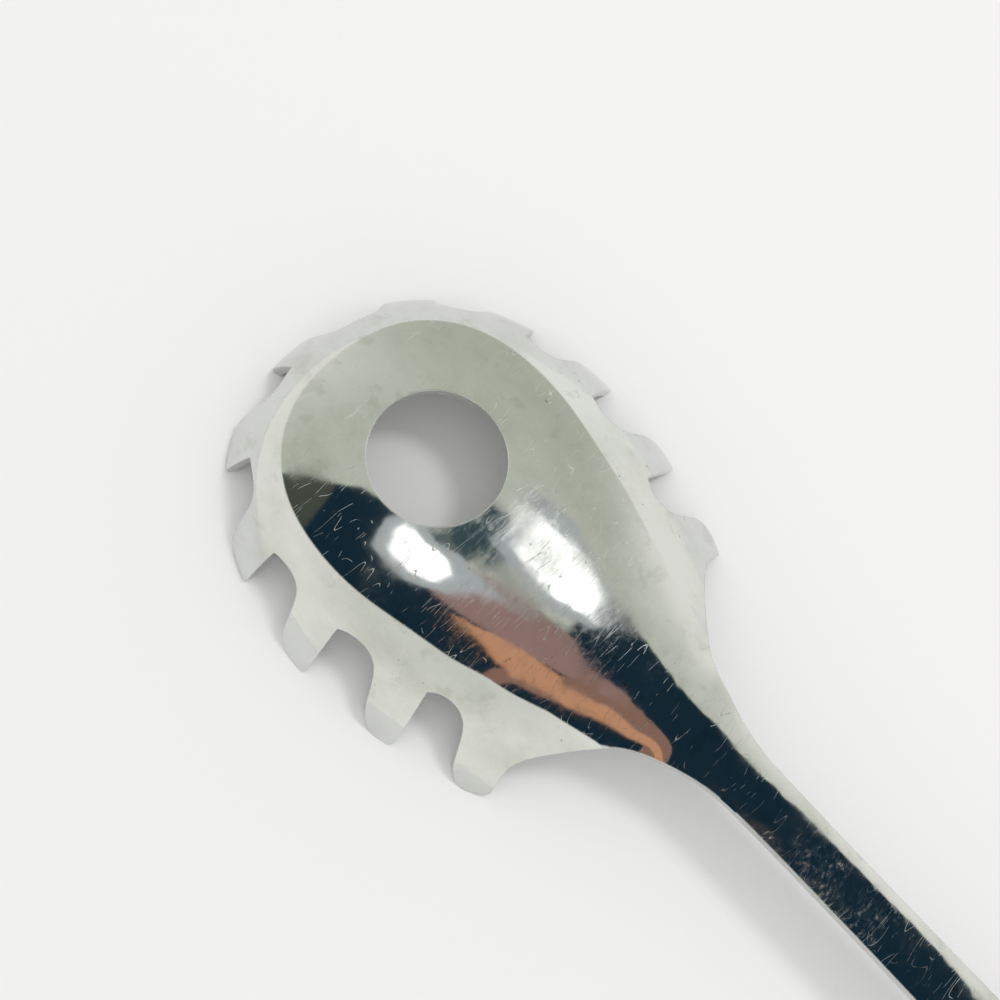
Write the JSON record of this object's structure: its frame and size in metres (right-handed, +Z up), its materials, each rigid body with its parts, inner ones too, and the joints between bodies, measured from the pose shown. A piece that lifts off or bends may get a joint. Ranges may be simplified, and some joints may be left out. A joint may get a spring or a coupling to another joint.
{
  "type": "pasta server",
  "caption": "Stainless pasta server: a domed head with a round portion hole and a ring of leaning teeth, on a crowned strap handle with a hanging hole. It lifts and drains long pasta.",
  "frame": {"origin": "centre of the bounding box at table level, with the server lying on its teeth, domed back up", "axes": "X runs from the head's tip to the handle's end, Y across the head, Z up"},
  "size_m": [0.3006, 0.0784, 0.0159],
  "materials": {
    "toothed_head": "mirror polished stainless steel with fine scratches",
    "neck_weld": "mirror polished stainless steel with fine scratches",
    "handle": "mirror polished stainless steel with fine scratches"
  },
  "bodies": {
    "root": {"toothed_head": "toothed_head", "neck_weld": "neck_weld", "handle": "handle"}
  },
  "joints": []
}
